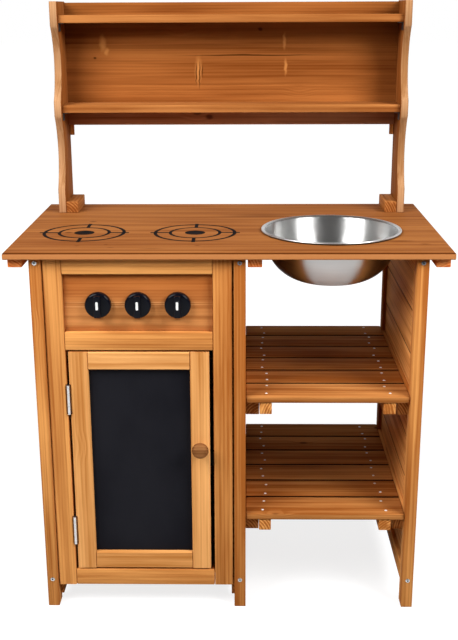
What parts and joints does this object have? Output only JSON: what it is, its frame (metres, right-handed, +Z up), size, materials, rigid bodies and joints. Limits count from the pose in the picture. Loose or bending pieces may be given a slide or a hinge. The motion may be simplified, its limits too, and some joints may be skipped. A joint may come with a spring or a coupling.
{
  "type": "mud kitchen",
  "caption": "Child's wooden mud kitchen with a worktop, drop-in bowl, turning knobs, a cabinet with a chalkboard door, open slatted shelves and a shelved hutch.",
  "frame": {"origin": "on the floor, under the middle of the object's box", "axes": "+Z up, +X to the right seen from the front, the front faces -Y"},
  "size_m": [0.7, 0.429, 0.998],
  "materials": {
    "stained_wood": "honey-brown stain, satin",
    "worktop_wood": "red-brown stain, satin",
    "door_wood": "light honey stain, satin",
    "turned_wood": "turned, stained",
    "chalkboard_black": "matt chalkboard paint",
    "black_plastic": "gloss black",
    "white_plastic": "white mark",
    "stainless_steel": "polished, fine spun lines",
    "zinc_steel": "bright zinc plating",
    "black_metal": "black paint"
  },
  "bodies": {
    "kitchen": {"cabinet_back_boards": "stained_wood", "cabinet_bottom_rail": "stained_wood", "cabinet_floor_cleats": "stained_wood", "cabinet_floor_slats": "stained_wood", "cabinet_left_stile": "stained_wood", "cabinet_middle_rail": "stained_wood", "cabinet_right_stile": "stained_wood", "cabinet_top_rail": "stained_wood", "door_stop": "black_plastic", "frame_hinge_leaves": "zinc_steel", "hinge_pins": "zinc_steel", "hutch_back_boards": "stained_wood", "hutch_back_strips": "stained_wood", "hutch_foot_blocks": "stained_wood", "hutch_left_upright": "stained_wood", "hutch_lower_shelf": "stained_wood", "hutch_right_upright": "stained_wood", "hutch_shelf_brackets": "black_metal", "hutch_top_shelf": "stained_wood", "knob_panel": "stained_wood", "left_back_leg": "stained_wood", "left_front_leg": "stained_wood", "left_side_boards": "stained_wood", "left_side_rails": "stained_wood", "leg_screws": "zinc_steel", "lower_shelf_slats": "stained_wood", "middle_back_leg": "stained_wood", "middle_front_leg": "stained_wood", "middle_side_boards": "stained_wood", "middle_side_rails": "stained_wood", "right_back_leg": "stained_wood", "right_front_leg": "stained_wood", "right_side_boards": "stained_wood", "right_side_rails": "stained_wood", "shelf_battens": "stained_wood", "shelf_cleats": "stained_wood", "shelf_side_strips": "stained_wood", "upper_shelf_slats": "stained_wood", "worktop": "worktop_wood", "worktop_battens": "stained_wood"},
    "door": {"chalkboard": "chalkboard_black", "door_bottom_rail": "door_wood", "door_hinge_leaves": "zinc_steel", "door_knob": "turned_wood", "door_knob_screw": "zinc_steel", "door_left_stile": "door_wood", "door_right_stile": "door_wood", "door_top_rail": "door_wood"},
    "bowl": {"sink_bowl": "stainless_steel"},
    "knob_left": {"control_knob_left": "black_plastic", "knob_pointer_left": "white_plastic", "knob_screw_left": "zinc_steel"},
    "knob_middle": {"control_knob_middle": "black_plastic", "knob_pointer_middle": "white_plastic", "knob_screw_middle": "zinc_steel"},
    "knob_right": {"control_knob_right": "black_plastic", "knob_pointer_right": "white_plastic", "knob_screw_right": "zinc_steel"}
  },
  "joints": [
    {"name": "door_hinge", "type": "hinge", "parent": "kitchen", "child": "door", "pos_m": [-0.2598, -0.1935, 0.2655], "axis": [0, 0, -1], "range_deg": [0, 160]},
    {"name": "knob_left_turn", "type": "hinge", "parent": "kitchen", "child": "knob_left", "pos_m": [-0.2065, -0.1849, 0.5365], "axis": [0, -1, 0], "continuous": true},
    {"name": "knob_middle_turn", "type": "hinge", "parent": "kitchen", "child": "knob_middle", "pos_m": [-0.1435, -0.1849, 0.5365], "axis": [0, -1, 0], "continuous": true},
    {"name": "knob_right_turn", "type": "hinge", "parent": "kitchen", "child": "knob_right", "pos_m": [-0.0805, -0.1849, 0.5365], "axis": [0, -1, 0], "continuous": true},
    {"name": "bowl_lift", "type": "slide", "parent": "kitchen", "child": "bowl", "axis": [0, 0, 1], "range_m": [0, 0.15]}
  ]
}
